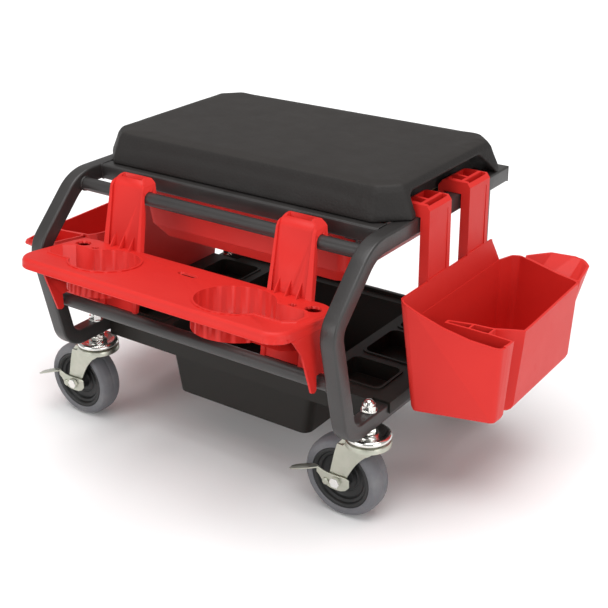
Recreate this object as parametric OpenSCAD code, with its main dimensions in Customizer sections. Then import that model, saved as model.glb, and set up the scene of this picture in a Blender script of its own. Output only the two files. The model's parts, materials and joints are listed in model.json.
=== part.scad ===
// Rolling mechanic's seat: steel loop frame on four swivel casters, padded seat,
// slide-out drawer, moulded base tray, a hook-on front tool tray and two hook-on side bins.
// X runs along the seat's long side, the front tray faces -Y, Z is up and the floor is Z = 0.

/* [Overall] */
// Shift from the seat's centre to the middle of the whole outline, along Y
outline_shift = 66; // [60:1:72]
// Height of the seat's top face above the floor
seat_top_z = 382; // [376:1:388]

/* [Frame] */
// Width of the square frame tube
tube_w = 19; // [18:0.5:20]
// Wall thickness of every frame tube
tube_wall = 1.5; // [1.2:0.1:2]
// Distance of each side frame's centre line from the middle
side_x = 208.5; // [207:0.5:210]
// Height of the top rail's centre line
top_rail_z = 334.5; // [334:0.5:335]
// Height of the bottom rail's centre line
bottom_rail_z = 131.5; // [131:0.5:132]
// Rear end of the side frames
rear_y = 125; // [122:1:128]
// Outer diameter of the round cross tubes
round_tube_d = 16; // [15:0.5:17]
// Height and depth of the upper round tube's centre
upper_tube_at = [-170, 327]; // [-172:0.5:328]
// Height and depth of the lower round tube's centre
lower_tube_at = [-228.5, 198]; // [-230:0.5:199]

/* [Seat] */
// Half length of the seat pad at its underside
seat_half_l = 217; // [215:1:218]
// Half depth of the seat pad at its underside
seat_half_d = 132; // [130:1:133]
// How far the pad's sides lean in from bottom to top
seat_lean = 11; // [9:1:13]
// Cut across each corner of the pad
seat_corner = 30; // [26:1:34]
// Thickness of the board under the pad
board_t = 8; // [6:1:9]

/* [Drawer] */
// Half width of the drawer at its rim
drawer_half_w = 150; // [148:1:151]
// Height of the drawer's rim
drawer_top_z = 320; // [318:1:321]
// Height of the drawer's underside
drawer_bottom_z = 255; // [250:1:262]
// Wall thickness of the drawer
drawer_wall = 2.5; // [2:0.5:3]

/* [Base tray] */
// Thickness of the base tray's wall
tray_wall = 3; // [2.5:0.5:3.5]
// Underside of the deep well
well_bottom_z = 57; // [55:1:65]
// Depth of the shallow side compartments
pocket_depth = 20; // [15:1:24]

/* [Front tray] */
// Half length of the shelf
shelf_half_l = 187; // [184:1:190]
// Rise of the shelf towards its front edge, in degrees
shelf_tilt = 6.5; // [5:0.5:8]
// Depth of the cup rings
ring_depth = 30; // [25:1:34]

/* [Side bins] */
// Wall thickness of the bins
bin_wall = 2.5; // [2:0.5:3]
// Height of the bins' underside
bin_bottom_z = 128; // [125:1:132]

/* [Casters] */
// Diameter of the wheels
wheel_d = 100; // [98:1:100]
// Width of the tyre
tyre_w = 30; // [28:1:31]
// Distance of the caster stems from the middle
stem_x = 207; // [206:0.5:209]
// Depth of the front and the rear stems
stem_y = [-165.5, 108]; // [-168:0.5:110]
// Horizontal distance from the stem to the wheel's axle
trail = 28; // [26:1:30]

/* [Hidden] */
$fn = 48;

black_steel = "#2b2928";
black_plastic = "#1d1b1a";
charcoal = "#393735";
red_plastic = "#d8342a";
zinc = "#b9bcb8";
grey_rubber = "#77767a";
plywood = "#a9824f";

half_tube = tube_w / 2;
rail_inner_x = side_x - half_tube;
rail_outer_x = side_x + half_tube;
rail_top_z = top_rail_z + half_tube;
rail_under_z = top_rail_z - half_tube;
base_top_z = bottom_rail_z + half_tube;
base_under_z = bottom_rail_z - half_tube;
axle_z = wheel_d / 2;

// Side frame route in the YZ plane, and the bend radius at each of its corners
frame_route = [
  [rear_y, top_rail_z], [-175, top_rail_z], [-243.4, 266.1],
  [-215.5, bottom_rail_z], [rear_y, bottom_rail_z]
];
bend_r = [0, 50, 27, 25, 0];

// ---------- helpers ----------

// Stands a YZ outline up and sweeps it along X from x0 to x1
module along_x(x0, x1) {
  translate([x0, 0, 0]) rotate([90, 0, 90]) linear_extrude(x1 - x0) children();
}

// Stands an XZ outline up and sweeps it along Y from y0 to y1
module along_y(y0, y1) {
  translate([0, y1, 0]) rotate([90, 0, 0]) linear_extrude(y1 - y0) children();
}

// Rectangle from a to b with round corners of radius r
module soft_rect(a, b, r) {
  translate([a.x + r, a.y]) square([b.x - a.x - 2 * r, b.y - a.y]);
  translate([a.x, a.y + r]) square([b.x - a.x, b.y - a.y - 2 * r]);
  for (x = [a.x + r, b.x - r], y = [a.y + r, b.y - r]) translate([x, y]) circle(r);
}

module tube_section() {
  difference() {
    square(tube_w, center = true);
    square(tube_w - 2 * tube_wall, center = true);
  }
}

// Straight square tube between two heights or depths
module square_tube_x(x0, x1, y, z) {
  translate([x0, y, z]) rotate([90, 0, 90]) linear_extrude(x1 - x0) tube_section();
}

module round_tube_x(half_l, at) {
  translate([-half_l, at.x, at.y]) rotate([0, 90, 0]) difference() {
    cylinder(h = 2 * half_l, d = round_tube_d);
    translate([0, 0, -1]) cylinder(h = 2 * half_l + 2, d = round_tube_d - 2 * tube_wall);
  }
}

function heading(a, b) = atan2(b.y - a.y, b.x - a.x);
function turn_at(p, i) = (heading(p[i], p[i + 1]) - heading(p[i - 1], p[i]) + 720) % 360;
function setback(p, i) = (i == 0 || i == len(p) - 1) ? 0 : bend_r[i] * tan(turn_at(p, i) / 2);

function left_of(h) = [-sin(h), cos(h)];
function along(h) = [cos(h), sin(h)];

// Points beside a route, d to its left, run on past both ends by extra
function beside(p, d, extra) = concat(
  [p[0] - extra * along(heading(p[0], p[1])) + d * left_of(heading(p[0], p[1]))],
  [for (i = [1 : len(p) - 2], k = [0 : 16])
    let (h = heading(p[i - 1], p[i]), a = h - 90 + turn_at(p, i) * k / 16)
    p[i] - setback(p, i) * along(h) + bend_r[i] * left_of(h) + (bend_r[i] - d) * along(a)],
  [p[4] + extra * along(heading(p[3], p[4])) + d * left_of(heading(p[3], p[4]))]
);
function backwards(v) = [for (i = [len(v) - 1 : -1 : 0]) v[i]];

// Band of half width d that follows a route
module band(p, d, extra) { polygon(concat(beside(p, -d, extra), backwards(beside(p, d, extra)))); }

// Four caster places: x, y
function stem_at(right, rear) = [(right ? 1 : -1) * stem_x, stem_y[rear ? 1 : 0]];

// ---------- frame ----------

module side_frame(side) {
  color(black_steel) difference() {
    along_x(side * side_x - half_tube, side * side_x + half_tube) band(frame_route, half_tube, 0);
    along_x(side * side_x - half_tube + tube_wall, side * side_x + half_tube - tube_wall)
      band(frame_route, half_tube - tube_wall, 1);
    for (y = stem_y) translate([side * stem_x, y, base_under_z - 1]) cylinder(h = tube_w + 2, r = 5.3);
  }
}

module side_frame_left() { side_frame(-1); }
module side_frame_right() { side_frame(1); }

// Two welded tabs reach in under the seat board, with a screw hole in each
module seat_tabs(y0, y1) {
  for (x = [-100, 100]) translate([x, 0, rail_top_z - 3]) difference() {
    translate([-16, y0, 0]) cube([32, y1 - y0, 3]);
    translate([0, y0 < 0 ? y1 - 10 : y0 + 10, -1]) cylinder(h = 5, r = 2.75);
  }
}

module front_seat_rail() {
  color(black_steel) {
    square_tube_x(-rail_inner_x, rail_inner_x, -132, top_rail_z);
    seat_tabs(-128, -101);
  }
}

module rear_seat_rail() {
  color(black_steel) {
    square_tube_x(-rail_inner_x, rail_inner_x, rear_y - half_tube, top_rail_z);
    seat_tabs(85, 112);
  }
}

module upper_cross_tube() { color(black_steel) round_tube_x(rail_inner_x, upper_tube_at); }
module lower_cross_tube() { color(black_steel) round_tube_x(rail_inner_x, lower_tube_at); }

module rear_base_rail() {
  color(black_steel) square_tube_x(-rail_inner_x, rail_inner_x, rear_y - half_tube, bottom_rail_z);
}

module rear_leg(side) {
  color(black_steel) translate([side * 188, rear_y - half_tube, base_top_z])
    linear_extrude(rail_under_z - base_top_z) tube_section();
}

module rear_leg_left() { rear_leg(-1); }
module rear_leg_right() { rear_leg(1); }

// Channel that carries the drawer's flange, open towards the middle
guide_top_z = rail_under_z;
guide_under_z = rail_under_z - 16;
module drawer_guide(side) {
  color(black_steel) mirror([side < 0 ? 1 : 0, 0, 0]) along_y(-138, 122) difference() {
    translate([155, guide_under_z]) square([16, guide_top_z - guide_under_z]);
    translate([154, guide_under_z + 2]) square([15, guide_top_z - guide_under_z - 4]);
  }
}

module drawer_guide_left() { drawer_guide(-1); }
module drawer_guide_right() { drawer_guide(1); }

module rail_end_caps() {
  color(black_plastic) for (s = [-1, 1], z = [top_rail_z, bottom_rail_z])
    translate([s * side_x, rear_y, z]) rotate([-90, 0, 0]) linear_extrude(2.5) square(tube_w, center = true);
}

// ---------- seat ----------

module octagon(half_l, half_d, cut) {
  polygon([
    [half_l, cut - half_d], [half_l, half_d - cut], [half_l - cut, half_d],
    [cut - half_l, half_d], [-half_l, half_d - cut], [-half_l, cut - half_d],
    [cut - half_l, -half_d], [half_l - cut, -half_d]
  ]);
}

// Hand-hold arch on each short side, above the bins' hooks
arch_x = 186;
module seat_arch() {
  for (s = [-1, 1]) mirror([s < 0 ? 1 : 0, 0, 0]) along_x(arch_x, seat_half_l + 2) polygon([
    [-s * 91, rail_top_z - 1], [-s * 91, 368], [-s * 87, 371], [s * 66, 371],
    [s * 71, 368], [s * 98, rail_top_z - 1]
  ]);
}

module seat_board() {
  color(plywood) translate([0, 0, rail_top_z]) linear_extrude(board_t) difference() {
    union() {
      translate([1 - arch_x, -117]) square([2 * arch_x - 2, 234]);
      translate([-150, -125]) square([300, 250]);
    }
    for (x = [-100, 100], y = [-111, 95]) translate([x, y]) circle(2.6);
  }
}

module seat_cushion() {
  color(charcoal) difference() {
    hull() {
      translate([0, 0, rail_top_z]) linear_extrude(6) octagon(seat_half_l, seat_half_d, seat_corner);
      translate([0, 0, seat_top_z - 1]) linear_extrude(1)
        octagon(seat_half_l - seat_lean - 3, seat_half_d - seat_lean - 3, seat_corner - 8);
      translate([0, 0, seat_top_z - 5]) linear_extrude(1)
        octagon(seat_half_l - seat_lean, seat_half_d - seat_lean, seat_corner - 8);
    }
    seat_arch();
    translate([0, 0, rail_top_z - 1]) linear_extrude(board_t + 1) {
      translate([1 - arch_x, -117]) square([2 * arch_x - 2, 234]);
      translate([-150, -125]) square([300, 250]);
    }
  }
}

// Four screws through the rails' tabs into the board
module seat_screws() {
  color(zinc) for (x = [-100, 100], y = [-111, 95]) translate([x, y, rail_top_z - 6]) {
    cylinder(h = 3, r = 5.5);
    cylinder(h = 5 + board_t, r = 2.5);
  }
}

// ---------- base tray ----------

flange_top_z = base_top_z + tray_wall;
pocket_x = [128, 193];
pocket_rows = [[-124, -70], [-52, 16], [28, 80]];
well_top = [116, [-134, 92]];
well_floor = [101, [-133, 78]];

// Tapered block for the deep well, grown by g on every side
module well_block(g, z0, z1) {
  hull() {
    translate([0, 0, z1 - 1]) linear_extrude(1)
      soft_rect([-well_top.x - g, well_top.y[0] - g], [well_top.x + g, well_top.y[1] + g], 12);
    translate([0, 0, z0]) linear_extrude(1)
      soft_rect([-well_floor.x - g, well_floor.y[0] - g], [well_floor.x + g, well_floor.y[1] + g], 12);
  }
}

module tray_pockets(g, z0, z1) {
  for (s = [-1, 1], row = pocket_rows) translate([0, 0, z0]) linear_extrude(z1 - z0)
    soft_rect([s > 0 ? pocket_x[0] - g : -pocket_x[1] - g, row[0] - g],
      [s > 0 ? pocket_x[1] + g : -pocket_x[0] + g, row[1] + g], 9);
}

module base_tray() {
  color(black_plastic) difference() {
    union() {
      // Flange over the rails, with a skirt outside them
      translate([-rail_outer_x - 2.5, -143, base_top_z]) cube([2 * rail_outer_x + 5, 233, tray_wall]);
      for (s = [-1, 1]) translate([s * (rail_outer_x + 1.5) - 1, -143, 130])
        cube([2, 233, base_top_z + tray_wall - 130]);
      // Front apron between the rails and raised rear rim
      translate([0.5 - rail_inner_x, -150, base_top_z - 24]) cube([2 * rail_inner_x - 1, 3, 24 + tray_wall]);
      translate([0.5 - rail_inner_x, -150, base_top_z]) cube([2 * rail_inner_x - 1, 240, tray_wall]);
      translate([-176, 90, base_top_z]) cube([352, 15, tray_wall]);
      translate([-176, 102, base_top_z]) cube([352, 3, 8]);
      well_block(0, well_bottom_z, flange_top_z);
      intersection() {
        tray_pockets(tray_wall, flange_top_z - pocket_depth - tray_wall, flange_top_z + 1.5);
        translate([0.6 - rail_inner_x, -200, 0]) cube([2 * rail_inner_x - 1.2, 400, 400]);
      }
    }
    well_block(-tray_wall, well_bottom_z + tray_wall, flange_top_z + 3);
    tray_pockets(0, flange_top_z - pocket_depth, flange_top_z + 5);
    for (s = [-1, 1], y = [-60, 20]) translate([s * side_x, y, base_top_z - 1]) cylinder(h = 10, r = 2.4);
  }
}

module tray_screws() {
  color(zinc) for (s = [-1, 1], y = [-60, 20]) translate([s * side_x, y, flange_top_z]) {
    cylinder(h = 2.5, r = 4.2);
    translate([0, 0, -tray_wall]) cylinder(h = tray_wall + 1, r = 2);
  }
}

// ---------- drawer ----------

drawer_y = [-125, 100];
module drawer_block(g, z0) {
  hull() {
    translate([0, 0, drawer_top_z - 1]) linear_extrude(1)
      soft_rect([-drawer_half_w - g, drawer_y[0] - g], [drawer_half_w + g, drawer_y[1] + g], 12);
    translate([0, 0, z0 + 18]) linear_extrude(1)
      soft_rect([-drawer_half_w + 5 - g, drawer_y[0] + 4 - g], [drawer_half_w - 5 + g, drawer_y[1] - 4 + g], 12);
    translate([0, 0, z0]) linear_extrude(1)
      soft_rect([-drawer_half_w + 18 - g, drawer_y[0] + 17 - g], [drawer_half_w - 18 + g, drawer_y[1] - 17 + g], 10);
  }
}

module drawer() {
  color(red_plastic) {
    difference() {
      union() {
        drawer_block(0, drawer_bottom_z);
        // Side flanges that ride in the guides
        translate([-167, drawer_y[0] + 6, guide_under_z + 2.4]) cube([334, drawer_y[1] - drawer_y[0] - 12, 3]);
        // Pull lip on the rear wall
        translate([-45, drawer_y[1] - 2, drawer_top_z - 4]) cube([90, 18, 4]);
        translate([-45, drawer_y[1] + 13, drawer_top_z - 14]) cube([90, 3, 14]);
      }
      translate([0, 0, 1]) drawer_block(-drawer_wall, drawer_bottom_z + drawer_wall - 1);
    }
  }
}

// ---------- front tray ----------

// Top of the shelf where it meets the straps
shelf_back = [-192.4, 268];
shelf_depth = 110;
strap_lean = 11.7;
cup_right = [91, 56, 44];
cup_left = [-99, 54, 40.5];
slot_half_d = 20.5;

// Moves the shelf's own flat coordinates (x, forward, up) into place
module on_shelf() {
  translate([0, shelf_back.x, shelf_back.y]) rotate([-shelf_tilt, 0, 0]) mirror([0, 1, 0]) children();
}

// Cup with its keyed slot, as an outline in the shelf's plane
module cup_outline(cup, g) {
  side = sign(cup.x);
  translate([cup.x, cup.y]) circle(cup[2] + g);
  c = 11;
  d = slot_half_d + g;
  far = 175.5 + g;
  polygon([
    [cup.x, 55 - d], [side * (far - c), 55 - d], [side * far, 55 - d + c],
    [side * far, 55 + d - c], [side * (far - c), 55 + d], [cup.x, 55 + d]
  ]);
}

module shelf_holes() {
  for (s = [-1, 1]) {
    translate([s * 166.4, 20.4, -6]) cylinder(h = 12, r = 9.5);
    translate([s * 143, 24.5, -6]) cylinder(h = 12, r = 4.75);
  }
  translate([-9, 25, -6]) cylinder(h = 12, r = 4.5);
  translate([9, 25, -6]) cylinder(h = 12, r = 4.5);
  translate([-9, 20.5, -6]) cube([18, 9, 12]);
}

module shelf() {
  difference() {
    union() {
      difference() {
        union() {
          hull() for (l = [[-13, 0.8], [-12, 0], [-5.5, 0], [-3, 0.7], [-1.4, 1.9], [-0.6, 3.6]])
            translate([0, 0, l[0]]) linear_extrude(0.6)
              soft_rect([l[1] - shelf_half_l, -1.3], [shelf_half_l - l[1], shelf_depth - l[1]], 22);
          translate([1 - shelf_half_l, -1.1, -12.5]) cube([2 * shelf_half_l - 2, 30, 11]);
        }
        translate([0, 0, -14]) linear_extrude(11)
          soft_rect([3 - shelf_half_l, -30], [shelf_half_l - 3, shelf_depth - 3], 19);
      }
      for (cup = [cup_left, cup_right]) translate([0, 0, -ring_depth])
        linear_extrude(ring_depth + 1.5) cup_outline(cup, 2.5);
    }
    for (cup = [cup_left, cup_right]) translate([0, 0, -ring_depth - 1])
      linear_extrude(ring_depth + 8) cup_outline(cup, 0);
    shelf_holes();
  }
}

// Point on the straps' front face at height z
function strap_y(z) = shelf_back.x + (z - shelf_back.y) * tan(strap_lean);
hook_back = upper_tube_at.x + round_tube_d / 2;

// Inside of the hook: an arch over the upper tube whose sides run straight down,
// so that the tray lifts off without touching it
hook_r = round_tube_d / 2 + 0.5;
hook_arch = [for (a = [0:12:180]) upper_tube_at + hook_r * [cos(a), sin(a)]];

module strap_side(g) {
  polygon(concat(
    [[strap_y(195) - g, 195], [strap_y(338) - g, 338], [strap_y(340) + 7 - g, 350],
      [upper_tube_at.x + 5, 351], [hook_back + 3, 349], [hook_back + 4.5, 345],
      [hook_back + 4.5, 328], [hook_back + 3.5, 326.5], [upper_tube_at.x + hook_r, 326.5]],
    hook_arch,
    [[upper_tube_at.x - hook_r, 312], [strap_y(300) + 5, 300], [strap_y(195) + 3, 195]]
  ));
}

module strap(side) {
  mirror([side < 0 ? 1 : 0, 0, 0]) difference() {
    intersection() {
      union() {
        along_x(90, 152) strap_side(0);
        along_x(90, 98) strap_side(2.4);
        along_x(143, 152) strap_side(2.4);
      }
      // Strap narrows from the shelf to the hook
      along_y(-260, -100) polygon([
        [92.5, 190], [151, 190], [151, shelf_back.y], [146.5, 342], [138, 351.5], [138, 353],
        [102, 353], [102, 351.5], [96, 343], [92.5, shelf_back.y]
      ]);
    }
    // Pocket in the hook's crown
    translate([104, strap_y(345) + 5, 340]) cube([32, 6.5, 20]);
  }
}

module back_plate(side) {
  mirror([side < 0 ? 1 : 0, 0, 0]) along_x(150, shelf_half_l - 1) polygon([
    [strap_y(195), 195], [strap_y(266), 266], [strap_y(266) + 2.5, 266], [strap_y(195) + 2.5, 195]
  ]);
}

// Triangular end plate that stands in front of the lower round tube
module gusset(side) {
  mirror([side < 0 ? 1 : 0, 0, 0]) along_x(shelf_half_l - 2.7, shelf_half_l - 0.2) polygon([
    [strap_y(266) - 1, 266], [-287, 270], [-276, 262], [-262, 242], [-246, 192], [-241, 190],
    [-237.2, 192], [-237.2, 209], [strap_y(209), 209]
  ]);
}

module front_tray() {
  color(red_plastic) {
    on_shelf() shelf();
    for (s = [-1, 1]) {
      strap(s);
      back_plate(s);
      gusset(s);
      // Webs between the shelf and each strap
      for (x = [106, 120.7, 135]) mirror([s < 0 ? 1 : 0, 0, 0]) along_x(x - 0.8, x + 0.8) polygon([
        [strap_y(268) + 1, 267], [strap_y(286) + 1, 286], [-201.5, 268.5], [-201.5, 267]
      ]);
    }
  }
}

// ---------- side bins ----------

bin_back_x = 229;
strap_rows = [[-88, -40], [3, 51]];

// Rounds an outline's corners by r, then grows it by g
module eased(r, g) { offset(delta = g) offset(r = r, $fn = 32) offset(delta = -r) children(); }

// Main bin outline at the rim and at the floor, wall faces grown by g
module bin_top_outline(g) {
  eased(6, g) polygon([
    [bin_back_x, -145], [238, -145], [273, -126], [325, -111], [335, -107], [337.5, -92],
    [336, -44], [331, 105], [322, 109], [246, 121], [236, 112], [bin_back_x, 90]
  ]);
}

module bin_floor_outline(g) {
  eased(7, g) polygon([
    [bin_back_x + 4, -124], [240, -124], [322, -102], [327, -98], [328, -85], [327.5, -30],
    [327, 97], [320, 101], [246, 110], [240, 106], [bin_back_x + 4, 84]
  ]);
}

module bin_block(g, z0) {
  hull() {
    translate([0, 0, 271]) linear_extrude(1) bin_top_outline(g);
    translate([0, 0, z0 + 7]) linear_extrude(1) bin_floor_outline(g);
    translate([0, 0, z0 + 2]) linear_extrude(1) bin_floor_outline(g - 2.2);
    translate([0, 0, z0]) linear_extrude(1) bin_floor_outline(g - 6);
  }
}

// V-shaped fold that splits the bin's outer side
module fold_outline(g) {
  offset(delta = g) polygon([
    [262, -95.5], [284.5, -88.5], [306, -83], [333, -81.5], [341, -76], [355, -76], [355, -48],
    [341, -48], [331, -54], [306.5, -70.5], [285, -79], [262, -92.5]
  ]);
}

// Everything above the sloping rim
module above_rim() {
  along_y(-200, -99) polygon([
    [bin_back_x + bin_wall + 0.5, 280], [bin_back_x + bin_wall + 0.5, 271], [250, 258], [273, 244],
    [300, 232], [324, 225.5], [350, 223], [350, 280]
  ]);
  along_y(-99.01, 200) polygon([
    [bin_back_x + bin_wall + 0.5, 280], [bin_back_x + bin_wall + 0.5, 239], [262, 235], [300, 229],
    [350, 225], [350, 280]
  ]);
  along_x(220, 240) polygon([[66, 280], [66, 270], [88, 238], [130, 238], [130, 280]]);
}

module end_pocket(g) {
  hull() {
    translate([0, 0, 239]) linear_extrude(1) eased(6, g) polygon([
      [247, 119], [331, 105], [319, 173], [307, 186], [271, 162]
    ]);
    translate([0, 0, 195 - 2 * g]) linear_extrude(1) eased(3, g) polygon([
      [252, 112], [329, 100], [318, 114], [300, 124], [266, 120]
    ]);
  }
}

// Hook side view in the XZ plane: over the rail's top with a lip inside it
module hook_side() {
  polygon([
    [rail_outer_x + 1.5, 262], [bin_back_x + bin_wall, 262], [bin_back_x + 1.5, 353], [bin_back_x - 3, 359],
    [205, 360], [195, 357], [190, 350], [190, 335], [rail_inner_x - 1.5, 335],
    [rail_inner_x - 1.5, rail_top_z + 0.3], [rail_outer_x + 1.5, rail_top_z + 0.3]
  ]);
}

module bin_hook(row) {
  difference() {
    along_y(row[0], row[1]) hook_side();
    // Channel back of the strap and the two pockets in its crown
    translate([rail_outer_x - 1, row[0] + 2.5, 250]) cube([8.5, row[1] - row[0] - 5, 90]);
    translate([221, row[0] + 4, 348]) cube([6, 40, 20]);
    translate([198, row[0] + 4, 348]) cube([19, 12, 20]);
    translate([198, row[0] + 20, 348]) cube([19, 24, 20]);
    // Shallow recess down the strap's face and sloped shoulders
    translate([bin_back_x + 1.2, row[0] + 3, 274]) cube([5, row[1] - row[0] - 10, 72]);
    for (a = [[row[0], -1], [row[1], 1]]) translate([200, a[0], 366]) rotate([a[1] * 38, 0, 0])
      translate([-20, -7, -6]) cube([60, 14, 12]);
  }
}

module bin_body() {
  difference() {
    union() {
      difference() {
        union() {
          bin_block(0, bin_bottom_z);
          end_pocket(0);
        }
        bin_block(-bin_wall, bin_bottom_z + bin_wall);
        difference() {
          end_pocket(-bin_wall);
          bin_block(0, bin_bottom_z);
        }
      }
      intersection() {
        bin_block(0, bin_bottom_z);
        translate([0, 0, bin_bottom_z]) linear_extrude(150) fold_outline(bin_wall);
      }
    }
    difference() {
      translate([0, 0, bin_bottom_z - 1]) linear_extrude(160) fold_outline(0);
      for (x = [283.5, 305]) translate([x, -120, bin_bottom_z - 2]) cube([2, 80, 170]);
    }
    above_rim();
  }
}

module bin() {
  color(red_plastic) {
    bin_body();
    for (row = strap_rows) bin_hook(row);
  }
}

module bin_right() { bin(); }

// The same moulding turned end for end and hung slightly further forward
module bin_left() { translate([0, -12, 0]) rotate([0, 0, 180]) bin(); }

// ---------- casters ----------

head_r = 26;
crown_z = [103, 107];
race_z = [107.4, base_under_z];
fork_y = [17.5, 20];
pin_r = 6;

// Swivel race with its threaded stem up through the rail and the kingpin below
module caster_head() {
  color(zinc) {
    translate([0, 0, race_z[0]]) cylinder(h = 5.6, r = head_r);
    translate([0, 0, race_z[0] + 5.6]) cylinder(h = 3, r1 = head_r - 1, r2 = head_r - 7);
    translate([0, 0, race_z[0] + 5]) cylinder(h = race_z[1] - race_z[0] - 5, r = 11);
    translate([0, 0, 97.5]) cylinder(h = 12, r = pin_r);
    translate([0, 0, 97.5]) cylinder(h = 4.5, r = 9);
    translate([0, 0, race_z[1] - 1]) cylinder(h = tube_w + 7, r = 5);
  }
}

module fork_plate_outline() {
  polygon([
    [-12, crown_z[0] + 1], [12, crown_z[0] + 1], [10, 92], [-8, 74], [-17, 58], [-18, 44],
    [-24, 39.5], [-32, 39.5], [-38, 44], [-40, 60], [-34, 84], [-22, 98]
  ]);
}

module caster_fork() {
  color(zinc) difference() {
    union() {
      translate([0, 0, crown_z[0]]) cylinder(h = crown_z[1] - crown_z[0], r = head_r - 2);
      for (s = [-1, 1]) along_y(s > 0 ? fork_y[0] : -fork_y[1], s > 0 ? fork_y[1] : -fork_y[0])
        fork_plate_outline();
    }
    translate([0, 0, 90]) cylinder(h = 20, r = pin_r + 0.06);
    translate([-trail, 0, axle_z]) rotate([90, 0, 0]) cylinder(h = 60, r = 4.02, center = true);
  }
}

// Axle bolt; its head stands further out where a brake lever shares it
module caster_axle(braked) {
  head = braked ? 22.8 : 20.2;
  color(zinc) translate([-trail, 0, axle_z]) rotate([90, 0, 0]) {
    translate([0, 0, -26]) cylinder(h = 26 + head + 1, r = 4);
    translate([0, 0, head]) cylinder(h = 5, r = 6.5, $fn = 6);
    translate([0, 0, -25.2]) cylinder(h = 5, r = 6.5, $fn = 6);
  }
}

module wheel_bush() {
  color(zinc) translate([-trail, 0, axle_z]) rotate([90, 0, 0]) difference() {
    cylinder(h = 34.8, r = 6, center = true);
    cylinder(h = 40, r = 4.02, center = true);
  }
}

rim_r = 38;
module wheel_hub() {
  color(black_plastic) translate([-trail, 0, axle_z]) rotate([90, 0, 0]) rotate_extrude() {
    translate([6.06, -16.8]) square([5, 33.6]);
    translate([10, -4]) square([20, 8]);
    translate([28, -13]) square([rim_r - 28, 26]);
    translate([18, -10]) square([3, 20]);
  }
}

module wheel_tyre() {
  color(grey_rubber) translate([-trail, 0, axle_z]) rotate([90, 0, 0]) rotate_extrude() polygon([
    [rim_r, -tyre_w / 2 + 1], [axle_z - 5, -tyre_w / 2], [axle_z - 1, -tyre_w / 2 + 4],
    [axle_z, -tyre_w / 2 + 7], [axle_z, tyre_w / 2 - 7], [axle_z - 1, tyre_w / 2 - 4],
    [axle_z - 5, tyre_w / 2], [rim_r, tyre_w / 2 - 1]
  ]);
}

// Foot lever that swings on the axle bolt outside the fork
module brake_lever() {
  color(zinc) difference() {
    union() {
      along_y(-22.4, -20.3) union() {
        translate([-trail, axle_z]) circle(9);
        polygon([[-trail - 2, axle_z - 8], [-trail - 2, axle_z + 8], [-58, 62], [-62, 58], [-56, 50]]);
      }
      // Toe pad bent out of the plate
      translate([-92, -28, 0]) along_y(0, 12) polygon([
        [0, 47], [30, 58], [36, 60], [36, 62], [29, 60.4], [0, 49.4]
      ]);
    }
    translate([-trail, 0, axle_z]) rotate([90, 0, 0]) cylinder(h = 60, r = 4.08);
  }
}

module at_caster(right, rear) {
  translate([stem_at(right, rear).x, stem_at(right, rear).y, 0]) children();
}

module stem_washers() {
  color(zinc) for (right = [false, true], rear = [false, true]) at_caster(right, rear)
    translate([0, 0, base_top_z]) difference() {
      cylinder(h = 1.5, r = 9.5);
      translate([0, 0, -1]) cylinder(h = 4, r = 5.1);
    }
}

module stem_nuts() {
  color(zinc) for (right = [false, true], rear = [false, true]) at_caster(right, rear)
    translate([0, 0, base_top_z + 1.5]) difference() {
      union() {
        cylinder(h = 5.5, r = 8.6, $fn = 6);
        cylinder(h = 6, r = 7);
        intersection() {
          translate([0, 0, 6]) sphere(6.6);
          translate([-8, -8, 6]) cube([16, 16, 8]);
        }
      }
      translate([0, 0, -1]) cylinder(h = 8, r = 5);
    }
}

module placed() { translate([0, outline_shift, 0]) children(); }

placed() side_frame_left();
placed() side_frame_right();
placed() front_seat_rail();
placed() rear_seat_rail();
placed() upper_cross_tube();
placed() lower_cross_tube();
placed() rear_leg_left();
placed() rear_leg_right();
placed() rear_base_rail();
placed() drawer_guide_left();
placed() drawer_guide_right();
placed() rail_end_caps();
placed() seat_board();
placed() seat_cushion();
placed() seat_screws();
placed() base_tray();
placed() tray_screws();
placed() stem_washers();
placed() stem_nuts();
placed() drawer();
placed() front_tray();
placed() bin_left();
placed() bin_right();
placed() at_caster(false, false) caster_head();  // caster_head_fl
placed() at_caster(false, false) caster_fork();  // caster_fork_fl
placed() at_caster(false, false) caster_axle(true);  // caster_axle_fl
placed() at_caster(false, false) wheel_bush();  // wheel_bush_fl
placed() at_caster(false, false) wheel_hub();  // wheel_hub_fl
placed() at_caster(false, false) wheel_tyre();  // wheel_tyre_fl
placed() at_caster(false, false) brake_lever();  // brake_lever_fl
placed() at_caster(true, false) caster_head();  // caster_head_fr
placed() at_caster(true, false) caster_fork();  // caster_fork_fr
placed() at_caster(true, false) caster_axle(true);  // caster_axle_fr
placed() at_caster(true, false) wheel_bush();  // wheel_bush_fr
placed() at_caster(true, false) wheel_hub();  // wheel_hub_fr
placed() at_caster(true, false) wheel_tyre();  // wheel_tyre_fr
placed() at_caster(true, false) brake_lever();  // brake_lever_fr
placed() at_caster(false, true) caster_head();  // caster_head_rl
placed() at_caster(false, true) caster_fork();  // caster_fork_rl
placed() at_caster(false, true) caster_axle(false);  // caster_axle_rl
placed() at_caster(false, true) wheel_bush();  // wheel_bush_rl
placed() at_caster(false, true) wheel_hub();  // wheel_hub_rl
placed() at_caster(false, true) wheel_tyre();  // wheel_tyre_rl
placed() at_caster(true, true) caster_head();  // caster_head_rr
placed() at_caster(true, true) caster_fork();  // caster_fork_rr
placed() at_caster(true, true) caster_axle(false);  // caster_axle_rr
placed() at_caster(true, true) wheel_bush();  // wheel_bush_rr
placed() at_caster(true, true) wheel_hub();  // wheel_hub_rr
placed() at_caster(true, true) wheel_tyre();  // wheel_tyre_rr
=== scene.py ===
import json
import math
import bpy
import bmesh
from mathutils import Matrix, Vector


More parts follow.
